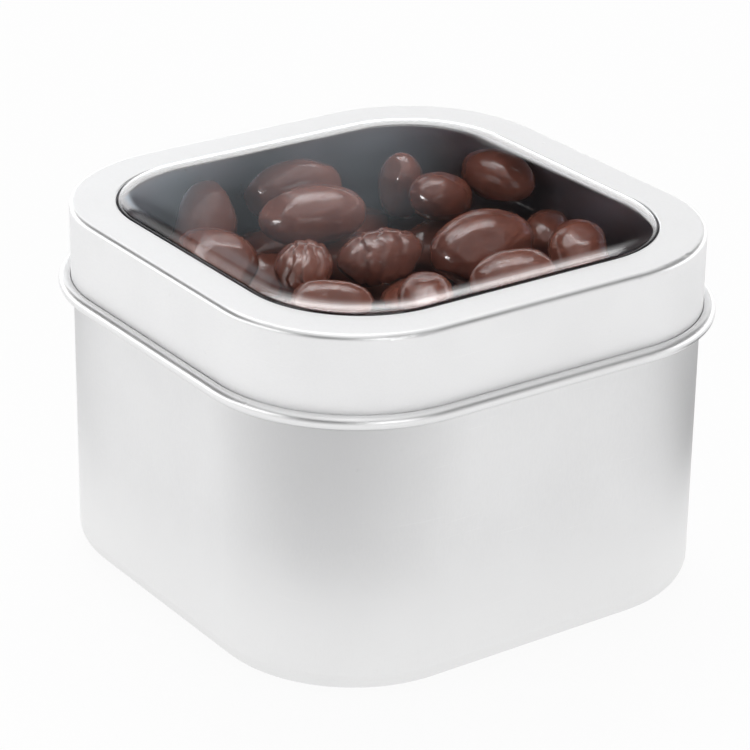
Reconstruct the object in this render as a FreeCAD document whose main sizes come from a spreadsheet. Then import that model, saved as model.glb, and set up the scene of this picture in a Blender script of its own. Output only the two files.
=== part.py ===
import FreeCAD, Part
import math
import os
import Sketcher

# A square tin with rounded corners: a deep-drawn body, a slip-over lid with a clear raised window,
# the frame that clamps the window under the lid, and the chocolate-coated almonds that fill it.
# The tin stands on z = 0 about the Z axis. Lengths are in millimetres.

SIZES = (
    ("lid_width", 100.0, "lid skirt, outside, flat to flat"),
    ("lid_corner_radius", 28.0, "lid skirt, outside, in plan"),
    ("rim_height", 69.3, "top of the lid rim above the table"),
    ("lid_depth", 16.9, "lid, rim to the foot of its bead"),
    ("lid_sheet", 0.3, "gauge of the lid"),
    ("top_edge_radius", 1.1, "outside bend between rim and skirt"),
    ("bead_radius", 1.3, "outside radius of the rolled bead"),
    ("rim_margin", 8.15, "flat of the rim, skirt to window opening"),
    ("opening_corner_radius", 21.5, "window opening, in plan"),
    ("lip_drop", 0.7, "turned-down edge of the opening below the rim"),
    ("lip_edge_radius", 0.45, "bend over the turned-down edge"),
    ("slip_clearance", 0.15, "lid skirt to body wall, each side"),
    ("seat_clearance", 0.1, "lid rim to the top of the body"),
    ("body_sheet", 0.3, "gauge of the body"),
    ("base_edge_radius", 4.0, "outside bend between base and wall"),
    ("hem_radius", 1.0, "outside radius of the body's inward hem"),
    ("standing_ring", 5.5, "flat ring the tin stands on, base bend to raised panel"),
    ("panel_rise", 0.8, "raised panel above the standing ring"),
    ("pane_thickness", 0.4, "clear window sheet"),
    ("pane_rise", 1.2, "window above the rim"),
    ("pane_edge_radius", 1.5, "rounded shoulder of the window"),
    ("pane_clearance", 0.25, "window to the turned-down edge, each side"),
    ("clamp_gap", 0.05, "between the clamped pieces"),
    ("clamp_sheet", 0.3, "gauge of the clamping frame"),
    ("clamp_flange", 1.2, "clamping frame, outward flange under the rim"),
    ("almond_length", 21.0, "coated almond, mean"),
    ("almond_width", 13.5, "coated almond, mean"),
    ("almond_thickness", 11.0, "coated almond, mean"),
    ("almond_gap", 0.25, "between almonds, and to the tin"),
)
BEAD_TURN = 315
HEM_TURN = 300

doc = FreeCAD.newDocument("window_lid_tin")
sizes = doc.addObject("Spreadsheet::Sheet", "sizes")
for row, (alias, number, meaning) in enumerate(SIZES, start=1):
    sizes.set("A%d" % row, meaning)
    sizes.set("B%d" % row, str(number))
    sizes.setAlias("B%d" % row, alias)
doc.recompute()

# Heights and half widths that several pieces share, as expressions on the sheet.
LID_HALF = "sizes.lid_width / 2"
LID_CORNER = "sizes.lid_corner_radius"
LID_BORE = LID_HALF + " - sizes.lid_sheet"
LID_BORE_CORNER = LID_CORNER + " - sizes.lid_sheet"
RIM_TOP = "sizes.rim_height"
RIM_UNDER = RIM_TOP + " - sizes.lid_sheet"
BEAD_AXIS = LID_BORE + " + sizes.bead_radius"
BEAD_AXIS_CORNER = LID_BORE_CORNER + " + sizes.bead_radius"
BEAD_LEVEL = RIM_TOP + " - sizes.lid_depth + sizes.bead_radius"
OPENING_HALF = LID_HALF + " - sizes.rim_margin"
OPENING_CORNER = "sizes.opening_corner_radius"
LIP_FOOT = RIM_UNDER + " - sizes.lip_drop"
FLANGE_TOP = LIP_FOOT + " - sizes.clamp_gap"
FLANGE_UNDER = FLANGE_TOP + " - sizes.pane_thickness"
CLAMP_TOP = FLANGE_UNDER + " - sizes.clamp_gap"
CLAMP_UNDER = CLAMP_TOP + " - sizes.clamp_sheet"
BODY_HALF = LID_BORE + " - sizes.slip_clearance"
BODY_CORNER = LID_BORE_CORNER + " - sizes.slip_clearance"
BODY_BORE = BODY_HALF + " - sizes.body_sheet"
BODY_BORE_CORNER = BODY_CORNER + " - sizes.body_sheet"
BODY_TOP = RIM_UNDER + " - sizes.seat_clearance"
HEM_LEVEL = BODY_TOP + " - sizes.hem_radius"
HEM_AXIS = BODY_HALF + " - sizes.hem_radius"
HEM_AXIS_CORNER = BODY_CORNER + " - sizes.hem_radius"
PANEL_HALF = BODY_HALF + " - sizes.base_edge_radius - sizes.standing_ring"
PANEL_CORNER = BODY_CORNER + " - sizes.base_edge_radius - sizes.standing_ring"
PANEL_TOP = "sizes.panel_rise + sizes.body_sheet"


def length(expression):
    """The present value of an expression on the sheet."""
    return float(sizes.evalExpression(expression))


def less(expression, taken):
    return "(%s) - (%s)" % (expression, taken)


def plus(expression, added):
    return "(%s) + (%s)" % (expression, added)


def make_body(label):
    body = doc.addObject("PartDesign::Body", label)
    body.Label = label
    return body


def flat_sketch(body, name, role, level=None):
    """An empty sketch on one of the body's own planes, raised to the given level."""
    sketch = body.newObject("Sketcher::SketchObject", name)
    plane = next(feature for feature in body.Origin.OriginFeatures if feature.Role == role)
    sketch.AttachmentSupport = [(plane, "")]
    sketch.MapMode = "FlatFace"
    if level is not None:
        sketch.setExpression("AttachmentOffset.Base.z", level)
    return sketch


def bind(sketch, constraint, name, expression):
    index = sketch.addConstraint(constraint)
    sketch.renameConstraint(index, name)
    sketch.setExpression("Constraints." + name, expression)


def draw_rounded_square(sketch, name, half, corner):
    """Four sides and four corner arcs about the sketch origin, held by half width and corner radius."""
    reach = length(half)
    radius = length(corner)
    centre = reach - radius
    first = sketch.GeometryCount
    for quarter in range(4):
        turn = FreeCAD.Rotation(FreeCAD.Vector(0, 0, 1), 90 * quarter)
        start = turn.multVec(FreeCAD.Vector(reach, -centre, 0))
        end = turn.multVec(FreeCAD.Vector(reach, centre, 0))
        middle = turn.multVec(FreeCAD.Vector(centre, centre, 0))
        circle = Part.Circle(middle, FreeCAD.Vector(0, 0, 1), radius)
        begin = math.pi / 2 * quarter
        sketch.addGeometry(Part.LineSegment(start, end), False)
        sketch.addGeometry(Part.ArcOfCircle(circle, begin, begin + math.pi / 2), False)
    for step in range(8):
        following = first + (step + 1) % 8
        sketch.addConstraint(Sketcher.Constraint("Tangent", first + step, 2, following, 1))
    for step, direction in ((0, "Vertical"), (2, "Horizontal"), (4, "Vertical"), (6, "Horizontal")):
        sketch.addConstraint(Sketcher.Constraint(direction, first + step))
    for step in (3, 5, 7):
        sketch.addConstraint(Sketcher.Constraint("Equal", first + 1, first + step))
    bind(sketch, Sketcher.Constraint("Radius", first + 1, radius), name + "_corner", corner)
    bind(sketch, Sketcher.Constraint("DistanceX", -1, 1, first, 1, reach), name + "_right", half)
    bind(sketch, Sketcher.Constraint("DistanceY", -1, 1, first + 2, 1, reach), name + "_back", half)
    bind(sketch, Sketcher.Constraint("DistanceX", first + 4, 1, -1, 1, reach), name + "_left", half)
    bind(sketch, Sketcher.Constraint("DistanceY", first + 6, 1, -1, 1, reach), name + "_front", half)


def square_sketch(body, name, level, *outlines):
    """A sketch of one rounded square, or of a ring between two, at the given level."""
    sketch = flat_sketch(body, name, "XY_Plane", level)
    for count, (half, corner) in enumerate(outlines):
        draw_rounded_square(sketch, "outline_%d" % count, half, corner)
    return sketch


def pad(body, name, sketch, height):
    feature = body.newObject("PartDesign::Pad", name)
    feature.Profile = sketch
    feature.setExpression("Length", height)
    doc.recompute()
    return feature


def pocket(body, name, sketch, depth, upward):
    before = body.Shape.Volume
    feature = body.newObject("PartDesign::Pocket", name)
    feature.Profile = sketch
    feature.Reversed = upward
    feature.setExpression("Length", depth)
    doc.recompute()
    if body.Shape.Volume >= before:
        raise RuntimeError("%s removes nothing" % name)
    return feature


def fillet(body, name, base, level, half, radius):
    """Rounds the rounded-square edge whose straight sides lie at one level and half width."""
    slack = length("sizes.clamp_gap") / 4
    height = length(level)
    reach = length(half)
    sides = []
    for index, edge in enumerate(base.Shape.Edges, start=1):
        middle = edge.valueAt((edge.FirstParameter + edge.LastParameter) / 2)
        level_edge = edge.BoundBox.ZLength < slack and abs(middle.z - height) < slack
        if level_edge and abs(max(abs(middle.x), abs(middle.y)) - reach) < slack:
            sides.append("Edge%d" % index)
    feature = body.newObject("PartDesign::Fillet", name)
    feature.Base = (base, sides)
    feature.setExpression("Radius", radius)
    doc.recompute()
    return feature


def roll(body, name, axis, axis_corner, level, outer, gauge, start_turn, sweep):
    """A rolled edge: a part-ring section of the sheet's own gauge carried round the rounded square."""
    path = flat_sketch(body, name + "_path", "XY_Plane", level)
    draw_rounded_square(path, "path", axis, axis_corner)
    section = flat_sketch(body, name + "_section", "XZ_Plane")
    outside = length(outer)
    inside = outside - length(gauge)
    begin = math.radians(start_turn)
    finish = begin + math.radians(sweep)
    middle = FreeCAD.Vector(length(axis), length(level), 0)
    up = FreeCAD.Vector(0, 0, 1)
    section.addGeometry(Part.ArcOfCircle(Part.Circle(middle, up, outside), begin, finish), False)
    section.addGeometry(Part.ArcOfCircle(Part.Circle(middle, up, inside), begin, finish), False)

    def on_circle(radius, angle):
        return middle + FreeCAD.Vector(radius * math.cos(angle), radius * math.sin(angle), 0)

    for angle in (begin, finish):
        section.addGeometry(Part.LineSegment(on_circle(outside, angle), on_circle(inside, angle)), False)
    for line, end in ((2, 1), (3, 2)):
        section.addConstraint(Sketcher.Constraint("Coincident", line, 1, 0, end))
        section.addConstraint(Sketcher.Constraint("Coincident", line, 2, 1, end))
    section.addConstraint(Sketcher.Constraint("Coincident", 0, 3, 1, 3))
    section.addConstraint(Sketcher.Constraint("Horizontal", 2))
    section.addConstraint(Sketcher.Constraint("PointOnObject", 0, 3, 3))
    section.addConstraint(Sketcher.Constraint("Angle", 0, math.radians(sweep)))
    bind(section, Sketcher.Constraint("Radius", 0, outside), "outer", outer)
    bind(section, Sketcher.Constraint("Radius", 1, inside), "inner", less(outer, gauge))
    bind(section, Sketcher.Constraint("DistanceX", -1, 1, 0, 3, middle.x), "axis", axis)
    bind(section, Sketcher.Constraint("DistanceY", -1, 1, 0, 3, middle.y), "level", level)
    feature = body.newObject("PartDesign::AdditivePipe", name)
    feature.Profile = section
    feature.Spine = (path, [])
    feature.Mode = "Binormal"
    feature.Binormal = up
    doc.recompute()
    return feature


# Lid: a drawn cap with a small bend over its top edge, a window opening whose edge is turned down,
# and a bead rolled outward at the foot of the skirt.
lid = make_body("lid_shell")
lid_block = square_sketch(lid, "lid_outline", BEAD_LEVEL, (LID_HALF, LID_CORNER))
lid_pad = pad(lid, "lid_drawn", lid_block, less(RIM_TOP, BEAD_LEVEL))
lid_bore = square_sketch(lid, "lid_bore", BEAD_LEVEL, (LID_BORE, LID_BORE_CORNER))
lid_hollow = pocket(lid, "lid_hollow", lid_bore, less(RIM_UNDER, BEAD_LEVEL), True)
lid_inner_bend = fillet(
    lid, "lid_inner_bend", lid_hollow, RIM_UNDER, LID_BORE, "sizes.top_edge_radius - sizes.lid_sheet"
)
lid_bend = fillet(lid, "lid_bend", lid_inner_bend, RIM_TOP, LID_HALF, "sizes.top_edge_radius")
opening_outline = square_sketch(lid, "opening_outline", RIM_TOP, (OPENING_HALF, OPENING_CORNER))
opening = pocket(lid, "opening", opening_outline, "sizes.lid_sheet", False)
lip_outline = square_sketch(
    lid,
    "lip_outline",
    LIP_FOOT,
    (plus(OPENING_HALF, "sizes.lid_sheet"), plus(OPENING_CORNER, "sizes.lid_sheet")),
    (OPENING_HALF, OPENING_CORNER),
)
lip = pad(lid, "lip", lip_outline, less(RIM_TOP, LIP_FOOT))
lip_bend = fillet(lid, "lip_bend", lip, RIM_TOP, OPENING_HALF, "sizes.lip_edge_radius")
roll(
    lid,
    "bead",
    BEAD_AXIS,
    BEAD_AXIS_CORNER,
    BEAD_LEVEL,
    "sizes.bead_radius",
    "sizes.lid_sheet",
    180,
    BEAD_TURN,
)

# Body: one drawn cup with a soft bend round the base, a raised panel inside its standing ring,
# and a hem rolled inward round its mouth.
cup = make_body("tin_body")
cup_outline = square_sketch(cup, "cup_outline", None, (BODY_HALF, BODY_CORNER))
cup_pad = pad(cup, "cup_drawn", cup_outline, HEM_LEVEL)
cup_bore = square_sketch(cup, "cup_bore", HEM_LEVEL, (BODY_BORE, BODY_BORE_CORNER))
cup_hollow = pocket(cup, "cup_hollow", cup_bore, less(HEM_LEVEL, "sizes.body_sheet"), False)
inner_bend = fillet(
    cup, "inner_bend", cup_hollow, "sizes.body_sheet", BODY_BORE, "sizes.base_edge_radius - sizes.body_sheet"
)
base_bend = fillet(cup, "base_bend", inner_bend, "0", BODY_HALF, "sizes.base_edge_radius")
panel_outline = square_sketch(cup, "panel_outline", None, (PANEL_HALF, PANEL_CORNER))
panel = pad(cup, "panel", panel_outline, PANEL_TOP)
recess_outline = square_sketch(
    cup, "recess_outline", None, (PANEL_HALF + " - sizes.body_sheet", PANEL_CORNER + " - sizes.body_sheet")
)
recess = pocket(cup, "recess", recess_outline, "sizes.panel_rise", True)
roll(cup, "hem", HEM_AXIS, HEM_AXIS_CORNER, HEM_LEVEL, "sizes.hem_radius", "sizes.body_sheet", 0, HEM_TURN)

# Outlines of the clamping frame, from the rim that clears the body's hem inward to the window flange.
CLAMP_RIM = HEM_AXIS + " - sizes.hem_radius - sizes.slip_clearance"
CLAMP_RIM_CORNER = HEM_AXIS_CORNER + " - sizes.hem_radius - sizes.slip_clearance"
CLAMP_WALL = CLAMP_RIM + " - sizes.clamp_flange"
CLAMP_WALL_CORNER = CLAMP_RIM_CORNER + " - sizes.clamp_flange"
CLAMP_BORE = CLAMP_WALL + " - sizes.clamp_sheet"
CLAMP_BORE_CORNER = CLAMP_WALL_CORNER + " - sizes.clamp_sheet"
CLAMP_RIM_TOP = RIM_UNDER + " - sizes.clamp_gap"

# Window: a clear sheet formed into a shallow raised crown with a rounded shoulder, and a flat flange
# that lies under the turned-down edge of the opening.
CROWN_HALF = OPENING_HALF + " - sizes.pane_clearance"
CROWN_CORNER = OPENING_CORNER + " - sizes.pane_clearance"
CROWN_TOP = RIM_TOP + " + sizes.pane_rise"
FLANGE_HALF = CLAMP_BORE + " - sizes.clamp_gap"
FLANGE_CORNER = CLAMP_BORE_CORNER + " - sizes.clamp_gap"
pane = make_body("window_pane")
flange_outline = square_sketch(pane, "flange_outline", FLANGE_UNDER, (FLANGE_HALF, FLANGE_CORNER))
pad(pane, "flange", flange_outline, "sizes.pane_thickness")
crown_outline = square_sketch(pane, "crown_outline", FLANGE_UNDER, (CROWN_HALF, CROWN_CORNER))
crown = pad(pane, "crown", crown_outline, less(CROWN_TOP, FLANGE_UNDER))
CROWN_BORE = CROWN_HALF + " - sizes.pane_thickness"
CROWN_UNDER = CROWN_TOP + " - sizes.pane_thickness"
crown_inside = square_sketch(
    pane, "crown_inside", FLANGE_UNDER, (CROWN_BORE, CROWN_CORNER + " - sizes.pane_thickness")
)
crown_hollow = pocket(pane, "crown_hollow", crown_inside, less(CROWN_UNDER, FLANGE_UNDER), True)
crown_inner_bend = fillet(
    pane,
    "crown_inner_bend",
    crown_hollow,
    CROWN_UNDER,
    CROWN_BORE,
    "sizes.pane_edge_radius - sizes.pane_thickness",
)
fillet(pane, "crown_bend", crown_inner_bend, CROWN_TOP, CROWN_HALF, "sizes.pane_edge_radius")

# Clamping frame: a stepped ring that holds the window flange up and is fixed flat under the rim.
clamp = make_body("window_retainer")
ledge_outline = square_sketch(
    clamp,
    "ledge_outline",
    CLAMP_UNDER,
    (CLAMP_WALL, CLAMP_WALL_CORNER),
    (plus(OPENING_HALF, "sizes.lid_sheet"), plus(OPENING_CORNER, "sizes.lid_sheet")),
)
pad(clamp, "ledge", ledge_outline, "sizes.clamp_sheet")
wall_outline = square_sketch(
    clamp, "wall_outline", CLAMP_UNDER, (CLAMP_WALL, CLAMP_WALL_CORNER), (CLAMP_BORE, CLAMP_BORE_CORNER)
)
pad(clamp, "wall", wall_outline, less(CLAMP_RIM_TOP, CLAMP_UNDER))
clamp_rim_outline = square_sketch(
    clamp,
    "clamp_rim_outline",
    less(CLAMP_RIM_TOP, "sizes.clamp_sheet"),
    (CLAMP_RIM, CLAMP_RIM_CORNER),
    (CLAMP_BORE, CLAMP_BORE_CORNER),
)
pad(clamp, "clamp_rim", clamp_rim_outline, "sizes.clamp_sheet")

# Almonds: each is an ellipsoid with its length along its own X. They are laid one after another at
# their places in plan and come to rest on the base or on what lies below.
GAP = length("sizes.almond_gap")
HALF_SIZES = ("sizes.almond_length / 2", "sizes.almond_width / 2", "sizes.almond_thickness / 2")
MEAN_HALVES = tuple(length(expression) for expression in HALF_SIZES)
WALL_HALF = length(BODY_BORE) - GAP
WALL_CORNER = length(BODY_BORE_CORNER) - GAP
FLOOR = length(PANEL_TOP) + GAP
AROUND = 24
RINGS = 12
SEARCH_RINGS = 12
SEARCH_STEP = length("sizes.almond_width / 4")
laid = []


def surface_points(rotation, halves):
    """Points spread over an almond's surface, from its centre."""
    points = []
    for ring in range(1, RINGS):
        rise = math.pi * (ring / RINGS - 0.5)
        for step in range(AROUND):
            turn = 2 * math.pi * step / AROUND
            local = FreeCAD.Vector(
                halves[0] * math.cos(turn) * math.cos(rise),
                halves[1] * math.sin(turn) * math.cos(rise),
                halves[2] * math.sin(rise),
            )
            points.append(rotation.multVec(local))
    for end in (-1, 1):
        points.append(rotation.multVec(FreeCAD.Vector(0, 0, end * halves[2])))
    return points


def outside_wall(x, y):
    """How far a place lies outside the body's inner wall, and the way back in."""
    straight = WALL_HALF - WALL_CORNER
    over_x = abs(x) - straight
    over_y = abs(y) - straight
    if over_x > 0 and over_y > 0:
        reach = math.hypot(over_x, over_y)
        way_back = (-math.copysign(over_x / reach, x), -math.copysign(over_y / reach, y))
        return reach - WALL_CORNER, way_back
    if over_x > over_y:
        return over_x - WALL_CORNER, (-math.copysign(1, x), 0)
    return over_y - WALL_CORNER, (0, -math.copysign(1, y))


def inside_wall(x, y, points):
    """The place nearest to (x, y) at which the almond clears the wall."""
    for attempt in range(AROUND):
        over, way = max(outside_wall(x + point.x, y + point.y) for point in points)
        if over <= 0:
            break
        x += way[0] * over
        y += way[1] * over
    return x, y


def form(rotation, halves):
    """The six terms of the almond's own quadratic, grown by the gap."""
    own_axes = (FreeCAD.Vector(1, 0, 0), FreeCAD.Vector(0, 1, 0), FreeCAD.Vector(0, 0, 1))
    axes = [rotation.multVec(axis) for axis in own_axes]
    weights = [1 / (half + GAP) ** 2 for half in halves]

    def term(first, second):
        return sum(weight * axis[first] * axis[second] for weight, axis in zip(weights, axes))

    return term(0, 0), term(0, 1), term(1, 1), term(0, 2), term(1, 2), term(2, 2)


def rest_height(x, y, points):
    """The lowest centre height at which the almond clears the base and every almond laid before."""
    lowest = min(point.z for point in points)
    height = FLOOR - lowest
    for centre, reach, (xx, xy, yy, xz, yz, zz) in laid:
        near = math.hypot(centre.x - x, centre.y - y) < 2 * reach
        if not near or centre.z + reach < height + lowest:
            continue
        for point in points:
            dx = x + point.x - centre.x
            dy = y + point.y - centre.y
            slope = xz * dx + yz * dy
            rest = xx * dx * dx + 2 * xy * dx * dy + yy * dy * dy - 1
            inner = slope * slope - zz * rest
            if inner > 0:
                top = centre.z + (math.sqrt(inner) - slope) / zz
                height = max(height, top - point.z)
    return height


def free_place(x, y, points, highest, rings):
    """The resting place nearest to (x, y) where the almond's top stays below the highest level."""
    rise = max(point.z for point in points)
    for ring in range(rings):
        around = max(1, 6 * ring)
        for step in range(around):
            turn = 2 * math.pi * step / around
            aside = ring * SEARCH_STEP
            place = inside_wall(x + aside * math.cos(turn), y + aside * math.sin(turn), points)
            height = rest_height(*place, points)
            if height + rise <= highest:
                return FreeCAD.Vector(*place, height)
    return None


def lay_almond(x, y, yaw, tilt, lean, size_share, highest, rings=1):
    """Lays one almond at a place in plan, turned by yaw, raised at one end by tilt and rolled by lean.

    It moves aside, ring by ring, from a place where it would rise too high. The answer is its centre, turn
    and size share, or None if no place is free.
    """
    rotation = FreeCAD.Rotation(yaw, tilt, lean)
    halves = [half * size_share for half in MEAN_HALVES]
    points = surface_points(rotation, halves)
    centre = free_place(x, y, points, highest, rings)
    if centre is None:
        return None
    laid.append((centre, max(MEAN_HALVES), form(rotation, halves)))
    return centre, rotation, size_share


# Bed: rows of almonds side by side, each layer crossing the one below, slightly turned and tilted in a
# repeating run so that they lie as poured. None rises above the bed's level.
YAW_RUN = (9, -14, 4, -7, 15, -3, 11)
TILT_RUN = (5, -9, 11, -4, 8, -11, 3)
LEAN_RUN = (-12, 6, 15, -5, 10)
SIZE_RUN_SHARES = (1.0, 0.95, 1.03, 0.92, 1.0, 0.97)
ROW_SPREAD_SHARE = 1.15


def lay_bed(level):
    """All almonds of the bed, layer by layer."""
    row_pitch = length("sizes.almond_width + sizes.almond_gap")
    column_pitch = length("sizes.almond_length + sizes.almond_gap")
    row_count = math.floor(2 * WALL_HALF / (row_pitch * ROW_SPREAD_SHARE))
    layer_count = round(level / length("sizes.almond_thickness"))
    bed = []
    for layer in range(layer_count):
        crossing = layer % 2
        for row in range(row_count):
            across = (row - (row_count - 1) / 2) * (2 * WALL_HALF - row_pitch) / (row_count - 1)
            over_corner = max(0, abs(across) + row_pitch / 4 - (WALL_HALF - WALL_CORNER))
            row_half = WALL_HALF - WALL_CORNER + math.sqrt(max(0, WALL_CORNER**2 - over_corner**2))
            column_count = math.floor(2 * row_half / column_pitch)
            for column in range(column_count):
                along = (column - (column_count - 1) / 2) * column_pitch
                x, y = (across, along) if crossing else (along, across)
                count = len(bed)
                yaw = 90 * crossing + YAW_RUN[count % len(YAW_RUN)]
                tilt = TILT_RUN[count % len(TILT_RUN)]
                lean = LEAN_RUN[count % len(LEAN_RUN)]
                size_share = SIZE_RUN_SHARES[count % len(SIZE_RUN_SHARES)]
                almond = lay_almond(x, y, yaw, tilt, lean, size_share, level)
                if almond:
                    bed.append(almond)
    return bed


# Top almonds: each has its own place, as a share of the inner half width, then its yaw, tilt, lean and size
# share. First come four in the hollows of the bed, then those under the window, then those along the two
# near walls, and one beside the far corner. All stay below the hem.
TOP_PLACE_SHARES = (
    (0.72, -0.18, 20, 0, 0, 1.0),
    (0.05, -0.10, 40, 0, 0, 1.0),
    (0.34, -0.32, -30, 0, 0, 1.0),
    (-0.20, 0.06, 80, 0, 0, 0.9),
    (0.15, 0.86, -20, -10, 80, 0.97),
    (-0.27, 0.84, 55, -54, 0, 0.9),
    (0.02, 0.52, -10, 0, 0, 1.05),
    (0.46, 0.0, 15, 0, 0, 1.18),
    (0.62, 0.77, 55, 50, 90, 0.87),
    (0.61, 0.48, 35, 20, 0, 0.9),
    (-0.43, 0.52, -75, 0, 0, 0.95),
    (-0.29, 0.12, 50, 0, 0, 0.85),
    (0.08, 0.14, 5, 0, 0, 0.95),
    (0.87, 0.11, 50, 0, 0, 0.75),
    (0.73, -0.25, 50, 0, 0, 0.85),
    (-0.37, -0.17, -30, 0, 90, 0.98),
    (-0.04, -0.32, 50, 0, 0, 0.8),
    (0.27, -0.46, -5, 0, 0, 0.9),
    (-0.74, 0.08, -80, 0, 0, 1.0),
    (-0.70, -0.40, 60, 0, 0, 0.95),
    (-0.38, -0.66, 20, 0, 0, 1.0),
    (0.05, -0.76, -10, 0, 0, 0.95),
    (0.45, -0.75, 15, 0, 0, 1.0),
    (0.80, -0.55, 70, 0, 0, 0.95),
    (0.84, 0.46, 90, 0, 0, 0.9),
)
FILL_LEVEL = length(HEM_LEVEL + " - sizes.hem_radius - sizes.almond_gap")


def lay_top():
    """All top almonds, with None for one that finds no place."""
    top = []
    for x_share, y_share, yaw, tilt, lean, size_share in TOP_PLACE_SHARES:
        x = x_share * WALL_HALF
        y = y_share * WALL_HALF
        top.append(lay_almond(x, y, yaw, tilt, lean, size_share, FILL_LEVEL, SEARCH_RINGS))
    return top


def make_almond(name, centre, rotation, size_share):
    almond = doc.addObject("Part::Ellipsoid", name)
    for radius, half in zip(("Radius2", "Radius3", "Radius1"), HALF_SIZES):
        almond.setExpression(radius, "%s * %s" % (half, size_share))
    almond.Placement = FreeCAD.Placement(centre, rotation)
    return almond


# Filling: the bed is as high as leaves room for all top almonds below the hem. It is one node of separate
# almonds, and each top almond is a node of its own.
BED_LEVEL_SHARES = (0.79, 0.68, 0.57, 0.46, 0.35)
for bed_share in BED_LEVEL_SHARES:
    laid.clear()
    bed_almonds = lay_bed(bed_share * length(BODY_TOP))
    top_almonds = lay_top()
    if None not in top_almonds:
        break
else:
    raise RuntimeError("the top almonds find no place")
bed = doc.addObject("Part::Compound", "almond_bed")
bed.Links = [
    make_almond("bed_almond_%03d" % count, *almond) for count, almond in enumerate(bed_almonds, start=1)
]
almond_nodes = [bed]
for count, almond in enumerate(top_almonds, start=1):
    almond_nodes.append(make_almond("top_almond_%02d" % count, *almond))

doc.recompute()
for thing in doc.Objects:
    if any(word in thing.State for word in ("Invalid", "Error")):
        raise RuntimeError("%s failed: %s" % (thing.Name, thing.State))
nodes = [lid, cup, pane, clamp] + almond_nodes
for node in nodes:
    if node.Shape.isNull() or not node.Shape.isValid():
        raise RuntimeError("%s has no sound shape" % node.Label)
os.makedirs("parts", exist_ok=True)
for node in nodes:
    node.Shape.exportStep("parts/%s.step" % node.Label)
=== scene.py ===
import math
import bmesh
import bpy
import numpy as np
from mathutils import Matrix, Vector, noise


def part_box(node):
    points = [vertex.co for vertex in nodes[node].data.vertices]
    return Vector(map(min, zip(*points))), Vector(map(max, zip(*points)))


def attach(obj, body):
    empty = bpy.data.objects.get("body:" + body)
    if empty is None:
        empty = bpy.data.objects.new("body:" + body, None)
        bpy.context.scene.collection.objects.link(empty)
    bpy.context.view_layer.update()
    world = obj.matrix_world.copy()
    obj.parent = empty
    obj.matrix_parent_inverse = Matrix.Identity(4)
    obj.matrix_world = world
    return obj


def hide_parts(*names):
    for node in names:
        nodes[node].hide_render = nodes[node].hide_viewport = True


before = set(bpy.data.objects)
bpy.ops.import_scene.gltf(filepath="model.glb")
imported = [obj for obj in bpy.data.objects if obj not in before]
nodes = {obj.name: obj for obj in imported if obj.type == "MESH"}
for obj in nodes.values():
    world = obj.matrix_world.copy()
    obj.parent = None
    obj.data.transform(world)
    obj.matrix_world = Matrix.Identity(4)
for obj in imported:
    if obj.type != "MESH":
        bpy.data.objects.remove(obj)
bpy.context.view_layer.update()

# Tin body: a cup drawn from tinned steel sheet, with a soft bend round its base and a hem rolled inward at
# the mouth. The outside has the satin grain of matt tinplate, burnished a little where the tools bent it,
# with painted shade darkening its corners towards the top and painted light round its foot. The inside is
# the bare sheet, more polished, its colour darkened and cooled as painted shade.

BODY_TONE = 0.77
INSIDE_PAINTED_SHADE = (0.5, 0.55, 0.67, 1)
PAINTED_CORNER_SHADE = (0.52, 0.52, 0.525, 1)
PAINTED_FOOT_LIGHT = (0.83, 0.83, 0.83, 1)
HAIRLINE_TIN = (0.92, 0.92, 0.92, 1)
HAIRLINE_SHARE, CORNER_SHADE_SHARE = 0.14, 0.9
SHEET_METAL, BEND_METAL = 0.6, 0.4
BEND_POLISH, INSIDE_POLISH = 0.13, 0.15
GRAIN_HEIGHT, PIMPLE_HEIGHT, HAIRLINE_DEPTH = 0.35, 6.0, 0.25


def put(tree, kind, sockets=None, **settings):
    node = tree.nodes.new("ShaderNode" + kind)
    for setting, value in settings.items():
        setattr(node, setting, value)
    for socket, value in (sockets or {}).items():
        if isinstance(value, bpy.types.NodeSocket):
            tree.links.new(value, node.inputs[socket])
        else:
            node.inputs[socket].default_value = value
    return node


def sums(tree, operation, first, second=0.0):
    return put(tree, "Math", {0: first, 1: second}, operation=operation).outputs[0]


def times(tree, first, second):
    return sums(tree, "MULTIPLY", first, second)


def spread(tree, value, low, high, to_low=0.0, to_high=1.0):
    limits = {0: value, 1: low, 2: high, 3: to_low, 4: to_high}
    return put(tree, "MapRange", limits, interpolation_type="SMOOTHSTEP").outputs[0]


def blend(tree, share, first, second):
    return put(tree, "Mix", {0: share, 6: first, 7: second}, data_type="RGBA").outputs[2]


def along(tree, vector, way):
    return put(tree, "VectorMath", {0: vector, 1: way}, operation="DOT_PRODUCT").outputs["Value"]


def new_finish(name):
    material = bpy.data.materials.new(name)
    material.use_nodes = True
    tree = material.node_tree
    return material, tree, tree.nodes["Principled BSDF"]


def millimetres(tree, stretch=(1, 1, 1)):
    place = put(tree, "TexCoord").outputs["Object"]
    scale = tuple(1000 * share for share in stretch)
    return put(tree, "Mapping", {"Vector": place, "Scale": scale}).outputs[0]


def speckle(tree, stretch, scale, detail, **more):
    sockets = {"Vector": millimetres(tree, stretch), "Scale": scale, "Detail": detail, **more}
    return put(tree, "TexNoise", sockets).outputs["Fac"]


def upward_share(tree, facing):
    return sums(tree, "ABSOLUTE", put(tree, "SeparateXYZ", {0: facing}).outputs["Z"])


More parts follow.
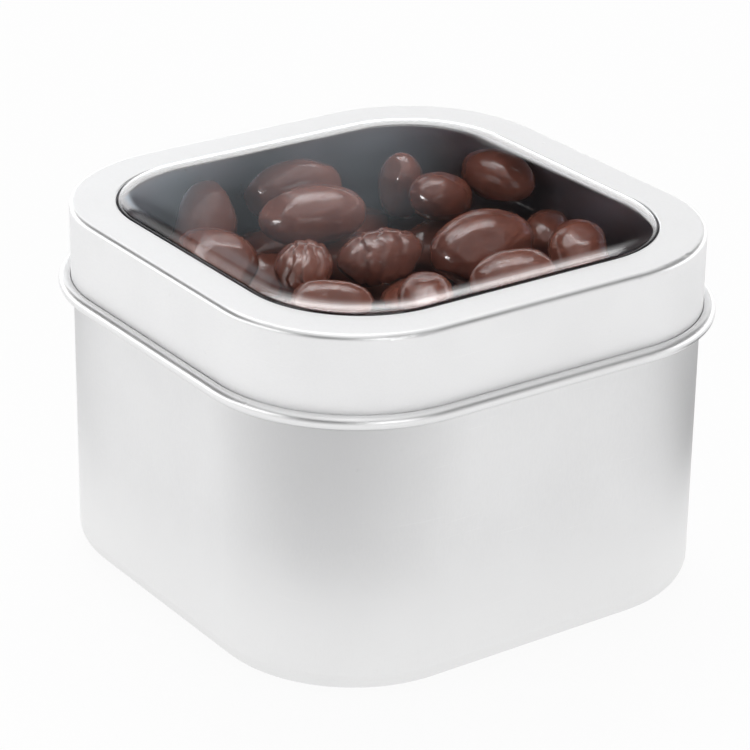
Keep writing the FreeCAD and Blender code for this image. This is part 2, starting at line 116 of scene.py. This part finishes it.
def tinplate(name, tone, stretch, cup=False):
    material, tree, surface = new_finish(name)
    facing = put(tree, "NewGeometry").outputs["Normal"]
    upward = upward_share(tree, facing)
    bend = spread(tree, sums(tree, "ABSOLUTE", sums(tree, "SUBTRACT", upward, 0.5)), 0.485, 0.38)
    cloud = speckle(tree, (1, 1, 1), 0.05, 2.0)
    grain = speckle(tree, stretch, 3.2, 4.0, Roughness=0.65)
    hairline = speckle(tree, (0.07, 0.07, 2.6), 1.1, 2.0, Distortion=0.4)
    scratch = spread(tree, hairline, 0.69, 0.74)
    pimples = put(tree, "TexVoronoi", {"Vector": millimetres(tree), "Scale": 0.3})
    lone = put(tree, "SeparateColor", {0: pimples.outputs["Color"]}).outputs[0]
    pimple = times(tree, spread(tree, pimples.outputs["Distance"], 0.12, 0.03),
                   spread(tree, lone, 0.86, 0.88))
    dull = sums(tree, "ADD", spread(tree, cloud, 0.3, 0.7, 0.0, 0.6),
                spread(tree, grain, 0.3, 0.7, 0.0, 0.4))
    bright = (tone, tone, tone * 1.005, 1)
    matt = (tone * 0.965, tone * 0.965, tone * 0.97, 1)
    colour = blend(tree, dull, bright, matt)
    colour = blend(tree, times(tree, scratch, HAIRLINE_SHARE), colour, HAIRLINE_TIN)
    metal = sums(tree, "ADD", SHEET_METAL, times(tree, bend, BEND_METAL))
    rough = sums(tree, "ADD", spread(tree, cloud, 0.3, 0.7, 0.45, 0.51),
                 spread(tree, grain, 0.3, 0.7, -0.03, 0.03))
    rough = sums(tree, "SUBTRACT", rough, times(tree, bend, BEND_POLISH))
    if cup:
        place = put(tree, "SeparateXYZ", {0: put(tree, "TexCoord").outputs["Object"]}).outputs
        x, y, z = place["X"], place["Y"], place["Z"]
        least = sums(tree, "MINIMUM", sums(tree, "ABSOLUTE", x), sums(tree, "ABSOLUTE", y))
        # Painted shade: the body's corners are darkened, more towards the top, for the darker reflection
        # they show.
        corner_shade_mask = times(tree, spread(tree, least, 0.014, 0.041), spread(tree, z, 0.002, 0.05))
        colour = blend(tree, times(tree, corner_shade_mask, CORNER_SHADE_SHARE), colour, PAINTED_CORNER_SHADE)
        # Painted light: the body is lightened towards its foot, broken up by the grain.
        foot = times(tree, spread(tree, z, 0.03, 0.001), spread(tree, grain, 0.2, 0.6, 0.7, 1.0))
        colour = blend(tree, foot, colour, PAINTED_FOOT_LIGHT)
        # Inside faces: more metal and polish, and a darker, bluer colour that is painted shade of the closed
        # tin.
        outward = along(tree, put(tree, "CombineXYZ", {0: x, 1: y}).outputs[0], facing)
        inner = spread(tree, outward, 0.002, -0.002)
        colour = blend(tree, inner, colour, INSIDE_PAINTED_SHADE)
        metal = sums(tree, "MAXIMUM", metal, inner)
        rough = sums(tree, "SUBTRACT", rough, times(tree, inner, INSIDE_POLISH))
    relief = sums(tree, "ADD", times(tree, grain, GRAIN_HEIGHT), times(tree, pimple, PIMPLE_HEIGHT))
    relief = sums(tree, "SUBTRACT", relief, times(tree, scratch, HAIRLINE_DEPTH))
    bump = put(tree, "Bump", {"Height": relief, "Strength": 0.25, "Distance": 0.00004}).outputs[0]
    tree.links.new(metal, surface.inputs["Metallic"])
    tree.links.new(colour, surface.inputs["Base Color"])
    tree.links.new(rough, surface.inputs["Roughness"])
    tree.links.new(bump, surface.inputs["Normal"])
    return material


nodes["tin_body"].material_slots[0].material = tinplate("drawn_tinplate", BODY_TONE, (1, 1, 0.3), True)

# Almonds: whole nuts panned in milk chocolate, lying loose in the tin. Each is a flattened drop with one end
# more pointed, uneven where the coat built up, with rubbed flats where nuts lay against each other, and a
# polished glaze. Two near the front dried with folds in their coat.

CHOCOLATE = (0.2, 0.068, 0.045, 1)
DARK_CHOCOLATE = (0.15, 0.048, 0.032, 1)
RUBBED_CHOCOLATE = (0.27, 0.12, 0.09, 1)
PLUMPNESS = 2.15
FLATS, FLAT_SHARE, FLAT_LEVELS = 7, 0.8, (0.9, 0.96)
TAPER = 0.09
LUMP_SCALE, RIPPLE_SCALE = 1.5, 4.2
LUMP_HEIGHT, RIPPLE_HEIGHT, SHRINKAGE = 0.028, 0.008, 0.022
FOLDED_ALMONDS = "top_almond_12", "top_almond_13"
FOLD_WAY = (0.82, -0.57, 0)
FOLD_PLACES = (-0.45, 0.0, 0.5)
FOLD_DEPTH, FOLD_WIDTH, FOLD_SHRINKAGE = 0.055, 0.06, 0.04
LIP_HEIGHT, LIP_WIDTH, LIP_AWAY = 0.03, 0.08, 0.14
DULL_ALMOND = "top_almond_25"
FINE, COARSE = 5, 4
HEAP_SEED = 100


def chocolate_coat():
    material, tree, surface = new_finish("panned_chocolate")
    nut = speckle(tree, (1, 1, 1), 0.07, 2.0)
    coat = speckle(tree, (1, 1, 1), 0.28, 3.0)
    skin = speckle(tree, (1, 1, 1), 1.9, 4.0)
    rubbed = spread(tree, speckle(tree, (1, 1, 1), 0.75, 5.0, Roughness=0.7), 0.58, 0.7)
    colour = blend(tree, spread(tree, nut, 0.35, 0.65), DARK_CHOCOLATE, CHOCOLATE)
    colour = blend(tree, spread(tree, coat, 0.45, 0.7, 0.0, 0.5), colour, CHOCOLATE)
    colour = blend(tree, times(tree, rubbed, 0.4), colour, RUBBED_CHOCOLATE)
    rough = sums(tree, "ADD", spread(tree, coat, 0.3, 0.7, 0.1, 0.17), times(tree, rubbed, 0.08))
    relief = sums(tree, "ADD", coat, times(tree, skin, 0.12))
    bump = put(tree, "Bump", {"Height": relief, "Strength": 0.3, "Distance": 0.0006}).outputs[0]
    surface.inputs["Specular IOR Level"].default_value = 0.6
    surface.inputs["Coat Weight"].default_value = 0.15
    surface.inputs["Coat Roughness"].default_value = 0.1
    tree.links.new(colour, surface.inputs["Base Color"])
    tree.links.new(rough, surface.inputs["Roughness"])
    tree.links.new(bump, surface.inputs["Normal"])
    return material


def sphere_net(level):
    net = bmesh.new()
    bmesh.ops.create_icosphere(net, subdivisions=level, radius=1)
    points = np.array([v.co for v in net.verts])
    faces = [[v.index for v in f.verts] for f in net.faces]
    net.free()
    return points, faces


def mesh_points(mesh):
    flat = np.zeros(3 * len(mesh.vertices), np.float32)
    mesh.vertices.foreach_get("co", flat)
    return flat.reshape(-1, 3).astype(float)


def loose_parts(mesh):
    """The points of each separate almond in a mesh of many."""
    ends = np.zeros(2 * len(mesh.edges), np.int32)
    mesh.edges.foreach_get("vertices", ends)
    ends = ends.reshape(-1, 2)
    label = np.arange(len(mesh.vertices))
    while True:
        first, second = label[ends[:, 0]], label[ends[:, 1]]
        lowest = np.minimum(first, second)
        joined = label.copy()
        np.minimum.at(joined, first, lowest)
        np.minimum.at(joined, second, lowest)
        joined = joined[joined]
        if (joined == label).all():
            break
        label = joined
    points = mesh_points(mesh)
    return [points[label == one] for one in np.unique(label)]


def lie_of(points):
    """Centre, axes and half sizes of the ellipsoid that an almond's points lie on."""
    centre = (points.min(0) + points.max(0)) / 2
    x, y, z = ((points - centre) * 1000).T
    terms = np.stack([x * x, y * y, z * z, 2 * x * y, 2 * x * z, 2 * y * z], 1)
    xx, yy, zz, xy, xz, yz = np.linalg.lstsq(terms, np.ones(len(x)), rcond=None)[0]
    strength, axes = np.linalg.eigh(np.array([[xx, xy, xz], [xy, yy, yz], [xz, yz, zz]]))
    if np.linalg.det(axes) < 0:
        axes[:, 2] = -axes[:, 2]
    return centre, axes, 1 / np.sqrt(strength) / 1000


def almond_points(net, lie, seed, folded=False):
    centre, axes, halves = lie
    chance = np.random.default_rng(seed)
    form = net / (abs(net) ** PLUMPNESS).sum(1, keepdims=True) ** (1 / PLUMPNESS)
    for _ in range(FLATS):
        way = chance.normal(size=3)
        way /= np.linalg.norm(way)
        level = chance.uniform(*FLAT_LEVELS)
        over = np.clip(form @ way - level, 0, None)
        form -= FLAT_SHARE * over[:, None] * way
    point_end = -np.sign(axes[2, 0]) if abs(axes[2, 0]) > 0.3 else chance.choice([-1, 1])
    forward = form[:, 0] * point_end
    form[:, 1:] *= (1 - TAPER * np.clip(forward, 0, None) ** 2)[:, None]
    shift = Vector(chance.uniform(-50, 50, 3))
    lumps = np.array([noise.noise(Vector(p) * LUMP_SCALE + shift) for p in net])
    ripples = np.array([noise.noise(Vector(p) * RIPPLE_SCALE - shift) for p in net])
    depth = LUMP_HEIGHT * lumps + RIPPLE_HEIGHT * ripples - SHRINKAGE
    if folded:
        across = (form * halves) @ axes.T @ FOLD_WAY
        across = across / abs(across).max() + 0.25 * lumps + 0.05 * ripples
        depth -= FOLD_SHRINKAGE
        for place in FOLD_PLACES:
            depth -= FOLD_DEPTH * np.exp(-((across - place) / FOLD_WIDTH) ** 2)
            depth += LIP_HEIGHT * np.exp(-((across - place - LIP_AWAY) / LIP_WIDTH) ** 2)
    form *= (1 + depth)[:, None]
    return centre + (form * halves) @ axes.T


def almond_mesh(name, points, faces, node):
    mesh = bpy.data.meshes.new(name)
    mesh.from_pydata(points.tolist(), [], faces)
    mesh.polygons.foreach_set("use_smooth", [True] * len(mesh.polygons))
    mesh.materials.append(glaze)
    piece = bpy.data.objects.new(name, mesh)
    scene.collection.objects.link(piece)
    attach(piece, "tin")
    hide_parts(node)
    nuts.objects.link(piece)
    return piece


scene = bpy.context.scene
glaze = chocolate_coat()
nuts = bpy.data.collections.new("nuts")
top_nuts = bpy.data.collections.new("top_nuts")
fine_net, fine_faces = sphere_net(FINE)
coarse_net, coarse_faces = sphere_net(COARSE)
top_almonds = sorted(name for name in nodes if name.startswith("top_almond"))
for number, node in enumerate(top_almonds):
    lie = lie_of(mesh_points(nodes[node].data))
    points = almond_points(fine_net, lie, number, node in FOLDED_ALMONDS)
    piece = almond_mesh("coated" + node[3:], points, fine_faces, node)
    if node != DULL_ALMOND:
        top_nuts.objects.link(piece)
heap_points, heap_faces = [], []
for number, part in enumerate(loose_parts(nodes["almond_bed"].data)):
    start = len(heap_points) * len(coarse_net)
    heap_points.append(almond_points(coarse_net, lie_of(part), HEAP_SEED + number))
    heap_faces += [[corner + start for corner in face] for face in coarse_faces]
almond_mesh("coated_almond_heap", np.concatenate(heap_points), heap_faces, "almond_bed")

# Lid: a shallow cap drawn from the same sheet, slipped over the body. Its rim is flat with a tight bend
# round it, the edge of the window opening is turned down, and a bead is rolled outward round its foot.

LID_TONE = 0.83
nodes["lid_shell"].material_slots[0].material = tinplate("lid_tinplate", LID_TONE, (1, 0.3, 1))

# Window frame: a stepped ring of plain sheet pressed up inside the lid, which clamps the window's flange
# against the underside of the rim.

FRAME_TONE = 0.8
nodes["window_retainer"].material_slots[0].material = tinplate("frame_tinplate", FRAME_TONE, (0.3, 1, 1))

# Window: one sheet of clear plastic formed with a low crown that stands a little proud of the rim through
# the opening, and a flat flange that stays under it. The steep foot of its shoulder is tinted dark as a
# painted shade line, and the top carries faint rub marks from handling.

CLEAR_SHEET = (0.97, 0.975, 0.985, 1)
PAINTED_EDGE_SHADE = (0.12, 0.12, 0.14, 1)
SHEET = 0.0004
CROWN_HALF, CROWN_CORNER = 0.0416, 0.02125
FOOT_BEND = 0.0002
CORNER_STEPS = 28
SHOULDER_INSETS = np.array([0, 0.1, 0.25, 0.45, 0.75, 1.15, 1.7, 2.4, 3.2, 5, 8]) / 1000
SHOULDER_SLOPES = np.array([75, 56, 42, 32, 25, 19, 13.5, 8.5, 4.5, 1.5, 0])
SHOULDER_FINE = np.linspace(0, 0.008, 401)
RING_INSETS_MM = [0, 0.05, 0.1, 0.17, 0.25, 0.35, 0.45, 0.6, 0.75, 0.95, 1.15, 1.4, 1.7, 2.05, 2.4, 2.8, 3.2,
                  4, 5, 6, 8, 14, 19]
FIRST_UNDER_MM = 0.35
CREASE = math.radians(40)


def clear_sheet():
    material, tree, surface = new_finish("clear_sheet")
    wave = speckle(tree, (1, 1, 1), 0.035, 1.0)
    rub = speckle(tree, (1, 0.08, 1), 1.4, 3.0, Distortion=0.6)
    rough = spread(tree, rub, 0.62, 0.75, 0.015, 0.08)
    bump = put(tree, "Bump", {"Height": wave, "Strength": 0.1, "Distance": 0.0004}).outputs[0]
    upward = upward_share(tree, put(tree, "NewGeometry").outputs["Normal"])
    # Painted shade: the steep foot of the shoulder is tinted near black.
    steep = spread(tree, upward, 0.88, 0.7)
    tree.links.new(blend(tree, steep, CLEAR_SHEET, PAINTED_EDGE_SHADE), surface.inputs["Base Color"])
    surface.inputs["Transmission Weight"].default_value = 1
    surface.inputs["IOR"].default_value = 1.5
    tree.links.new(rough, surface.inputs["Roughness"])
    tree.links.new(bump, surface.inputs["Normal"])
    clear = put(tree, "BsdfTransparent", {"Color": (0.9, 0.9, 0.9, 1)})
    shadow = put(tree, "LightPath").outputs["Is Shadow Ray"]
    mix = put(tree, "MixShader", {0: shadow, 1: surface.outputs[0], 2: clear.outputs[0]})
    tree.links.new(mix.outputs[0], tree.nodes["Material Output"].inputs["Surface"])
    return material


def square_ring(half, corner, height):
    straight = half - corner
    ring = []
    for quarter in range(4):
        turn = Matrix.Rotation(quarter * math.pi / 2, 3, "Z")
        for step in range(CORNER_STEPS + 1):
            angle = step / CORNER_STEPS * math.pi / 2
            x, y = straight + corner * math.cos(angle), straight + corner * math.sin(angle)
            ring.append(turn @ Vector((x, y, 0)))
    return [(point.x, point.y, height) for point in ring]


def shoulder_fall(inset):
    """How far the shoulder has fallen below the crown at this distance from the window's edge."""
    slope = np.interp(SHOULDER_FINE, SHOULDER_INSETS, np.tan(np.radians(SHOULDER_SLOPES)))
    drops = (slope[1:] + slope[:-1])[::-1] / 2 * np.diff(SHOULDER_FINE)[::-1]
    fall = np.concatenate([np.cumsum(drops)[::-1], [0]])
    return float(np.interp(inset, SHOULDER_FINE, fall))


flange_low, crown_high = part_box("window_pane")
flange_half, flange_corner = crown_high.x, CROWN_CORNER + crown_high.x - CROWN_HALF
outline = [(flange_half, flange_low.z + SHEET), (CROWN_HALF + FOOT_BEND, flange_low.z + SHEET),
           (CROWN_HALF, flange_low.z + SHEET + FOOT_BEND)]
under = [(flange_half, flange_low.z), (CROWN_HALF - SHEET, flange_low.z)]
for inset in RING_INSETS_MM:
    half, height = CROWN_HALF - inset / 1000, crown_high.z - shoulder_fall(inset / 1000)
    outline.append((half, height))
    if inset >= FIRST_UNDER_MM:
        under.append((min(CROWN_HALF - SHEET, half), crown_high.z - SHEET - shoulder_fall(inset / 1000)))
rings = under[::-1] + outline
points = [point for half, height in rings
          for point in square_ring(half, flange_corner - (flange_half - half), height)]
around = 4 * (CORNER_STEPS + 1)
faces = [[ring * around + k, ring * around + (k + 1) % around, (ring + 1) * around + (k + 1) % around,
          (ring + 1) * around + k] for ring in range(len(rings) - 1) for k in range(around)]
faces.append(list(range(around))[::-1])
faces.append([(len(rings) - 1) * around + k for k in range(around)])
pane_mesh = bpy.data.meshes.new("formed_window")
pane_mesh.from_pydata(points, [], faces)
pane_mesh.polygons.foreach_set("use_smooth", [True] * len(pane_mesh.polygons))
pane_mesh.set_sharp_from_angle(angle=CREASE)
pane_mesh.materials.append(clear_sheet())
pane = bpy.data.objects.new("formed_window", pane_mesh)
scene.collection.objects.link(pane)
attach(pane, "lid")
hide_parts("window_pane")

# Floor: a plain pale sheet that reads white to the camera and in the metal, and still takes the tin's
# shadow. A card of dark felt lies on it at the right, where only gloss sees it, to give the metal an edge.

FLOOR_HALF, FLOOR_LEVEL = 4.0, -0.0001
FLOOR_CORNERS = [(-FLOOR_HALF, -FLOOR_HALF), (FLOOR_HALF, -FLOOR_HALF),
                 (FLOOR_HALF, FLOOR_HALF), (-FLOOR_HALF, FLOOR_HALF)]
FLOOR_GLOW = 0.9
FLAG_LEVEL = 0.001
FLAG_CORNERS = [(0.09, -0.07), (0.15, -0.09), (0.15, 0.09), (0.09, 0.07)]


def flat_card(name, corners, level):
    mesh = bpy.data.meshes.new(name)
    mesh.from_pydata([(x, y, level) for x, y in corners], [], [[0, 1, 2, 3]])
    card = bpy.data.objects.new(name, mesh)
    scene.collection.objects.link(card)
    return card


floor = flat_card("floor", FLOOR_CORNERS, FLOOR_LEVEL)
white, tree, surface = new_finish("floor_white")
surface.inputs["Base Color"].default_value = (0.9, 0.9, 0.9, 1)
surface.inputs["Roughness"].default_value = 0.9
surface.inputs["Specular IOR Level"].default_value = 0.0
glow = put(tree, "Emission", {"Color": (1, 1, 1, 1), "Strength": 1.0})
path = put(tree, "LightPath").outputs
seen = sums(tree, "MAXIMUM", path["Is Camera Ray"], path["Is Glossy Ray"])
seen = sums(tree, "MAXIMUM", seen, path["Is Transmission Ray"])
mix = put(tree, "MixShader", {0: times(tree, seen, FLOOR_GLOW), 1: surface.outputs[0], 2: glow.outputs[0]})
tree.links.new(mix.outputs[0], tree.nodes["Material Output"].inputs["Surface"])
floor.data.materials.append(white)

flag = flat_card("right_flag", FLAG_CORNERS, FLAG_LEVEL)
flag.visible_camera = flag.visible_shadow = False
flag.visible_transmission = flag.visible_diffuse = False
felt, tree, surface = new_finish("flag_felt")
surface.inputs["Base Color"].default_value = (0.3, 0.3, 0.3, 1)
surface.inputs["Roughness"].default_value = 1
surface.inputs["Specular IOR Level"].default_value = 0
flag.data.materials.append(felt)

# Surroundings: a dim studio with a bright ceiling and a bright low wall, which gloss sees dimmed on the near
# side. The window mirrors the dark band between them, a hazy card in that band to the left, and a brighter
# card further left.

WINDOW_AHEAD = (0.5787, 0.8156, 0)
WINDOW_LEFT = (-0.8156, 0.5787, 0)
NEUTRAL, COOL = (1, 1, 1, 1), (0.9, 1.0, 1.08, 1)

world = bpy.data.worlds.new("studio")
scene.world = world
world.use_nodes = True
tree = world.node_tree
way = put(tree, "TexCoord").outputs["Generated"]
height = put(tree, "SeparateXYZ", {0: way}).outputs["Z"]
aside = along(tree, way, WINDOW_LEFT)
ahead = along(tree, way, WINDOW_AHEAD)
path = put(tree, "LightPath").outputs


def by_height(low, high, to_low=0.0, to_high=1.0):
    low, high = math.sin(math.radians(low)), math.sin(math.radians(high))
    return spread(tree, height, low, high, to_low, to_high)


haze = times(tree, spread(tree, aside, -0.03, 0.01, 0.0, 0.34), by_height(22.8, 19.8))
haze = sums(tree, "ADD", haze, spread(tree, aside, 0.045, 0.075, 0.0, 0.3))
haze = times(tree, haze, spread(tree, aside, 0.3, 0.18))
haze = times(tree, haze, by_height(30, 26))
haze = times(tree, haze, spread(tree, ahead, 0.5, 0.7))
dim = times(tree, spread(tree, aside, 0.1, -0.6, 0.12, 0.2), spread(tree, ahead, 0.88, 0.7, 0.12, 1.0))
left_card = times(tree, spread(tree, aside, 0.13, 0.26, 0.0, 2.0), by_height(31, 26))
left_card = times(tree, left_card, spread(tree, aside, 0.5, 0.42))
left_card = times(tree, left_card, spread(tree, ahead, 0.5, 0.7))
band = sums(tree, "MAXIMUM", sums(tree, "MAXIMUM", haze, dim), left_card)

veer = sums(tree, "DIVIDE", aside, sums(tree, "MAXIMUM", ahead, 0.05))
straight_on = times(tree, spread(tree, veer, 0.95, 0.75), spread(tree, veer, -0.45, -0.33))
ceiling_ahead = sums(tree, "ADD", by_height(27.5, 37, 0.0, 0.8), by_height(36, 62, 0.0, 1.1))
ceiling_around = times(tree, sums(tree, "SUBTRACT", 1.0, straight_on), by_height(38, 54, 0.0, 0.92))
ceiling = sums(tree, "ADD", times(tree, straight_on, ceiling_ahead), ceiling_around)
toned_down = times(tree, path["Is Glossy Ray"], spread(tree, ahead, 0.1, -0.3, 0.0, 0.75))
low_wall = times(tree, by_height(17, 19.3, 2.0, 0.0), sums(tree, "SUBTRACT", 1.0, toned_down))

level = sums(tree, "MAXIMUM", sums(tree, "MAXIMUM", ceiling, low_wall), band)
level = sums(tree, "MAXIMUM", level, path["Is Camera Ray"])
cool = times(tree, spread(tree, haze, 0.0, 0.15), by_height(18, 20))
tree.links.new(blend(tree, cool, NEUTRAL, COOL), tree.nodes["Background"].inputs["Color"])
tree.links.new(level, tree.nodes["Background"].inputs["Strength"])

# Lamps: a soft box overhead, one at each side, and one that reaches only the window and shows as a bright
# edge on its shoulder. Two more reach only the almonds: a large one from above, and a small one at the left
# for their gloss, which leaves out the almond in the far corner.

NUTS_MIDDLE, TIN_MIDDLE, WINDOW_MIDDLE = (0, 0, 0.058), (0, 0, 0.05), (0, 0, 0.07)


def soft_box(name, place, aim, width, length, radiance):
    lamp = bpy.data.lights.new(name, "AREA")
    lamp.shape = "RECTANGLE"
    lamp.size, lamp.size_y = width, length
    lamp.energy = radiance * math.pi * width * length
    box = bpy.data.objects.new(name, lamp)
    box.location = place
    box.rotation_euler = (Vector(aim) - Vector(place)).to_track_quat("-Z", "Y").to_euler()
    scene.collection.objects.link(box)
    return box


side_box = soft_box("nut_side_box", (-0.6, -0.02, 0.15), NUTS_MIDDLE, 0.28, 0.28, 26.0)
side_box.visible_diffuse = False
side_box.light_linking.receiver_collection = top_nuts
side_box.light_linking.blocker_collection = nuts
top_box = soft_box("nut_top_box", (0.15, -0.3, 0.42), NUTS_MIDDLE, 0.5, 0.5, 1.1)
top_box.visible_glossy = False
top_box.light_linking.receiver_collection = nuts
top_box.light_linking.blocker_collection = nuts
window_only = bpy.data.collections.new("window_only")
window_only.objects.link(pane)
window_box = soft_box("window_box", (0.134, 0.31, 0.69), WINDOW_MIDDLE, 0.85, 0.34, 3.0)
window_box.light_linking.receiver_collection = window_only
soft_box("overhead_box", (0.4, 0.56, 1.1), TIN_MIDDLE, 0.8, 0.8, 0.75)
soft_box("left_box", (-0.78, 0.1, 0.36), TIN_MIDDLE, 0.5, 0.4, 1.45)
soft_box("right_box", (-0.15, -0.8, 0.36), TIN_MIDDLE, 0.5, 0.4, 1.6)

# Camera: a long lens that stands where the photograph was taken, a little above the lid and turned a little
# off the tin's corner.

TURN, RISE, LEAN = math.radians(-35.35), math.radians(24.44), math.radians(0.90)
DISTANCE = 0.588
LOOKED_AT = Vector((0, 0, 0.033))
back = Vector((math.sin(TURN) * math.cos(RISE), -math.cos(TURN) * math.cos(RISE), math.sin(RISE)))
right = Vector((math.cos(TURN), math.sin(TURN), 0))
up = back.cross(right)
right, up = (right * math.cos(LEAN) + up * math.sin(LEAN), up * math.cos(LEAN) - right * math.sin(LEAN))
camera = bpy.data.objects.new("camera", bpy.data.cameras.new("camera"))
camera.data.sensor_width = 36
camera.data.lens = 149.6
camera.data.shift_x = -0.0105
camera.data.shift_y = 0.0187
camera.data.clip_start = 0.01
camera.matrix_world = Matrix.Translation(LOOKED_AT + back * DISTANCE) @ Matrix(
    (right, up, back)).transposed().to_4x4()
scene.collection.objects.link(camera)
scene.camera = camera
scene.view_settings.view_transform = "Standard"
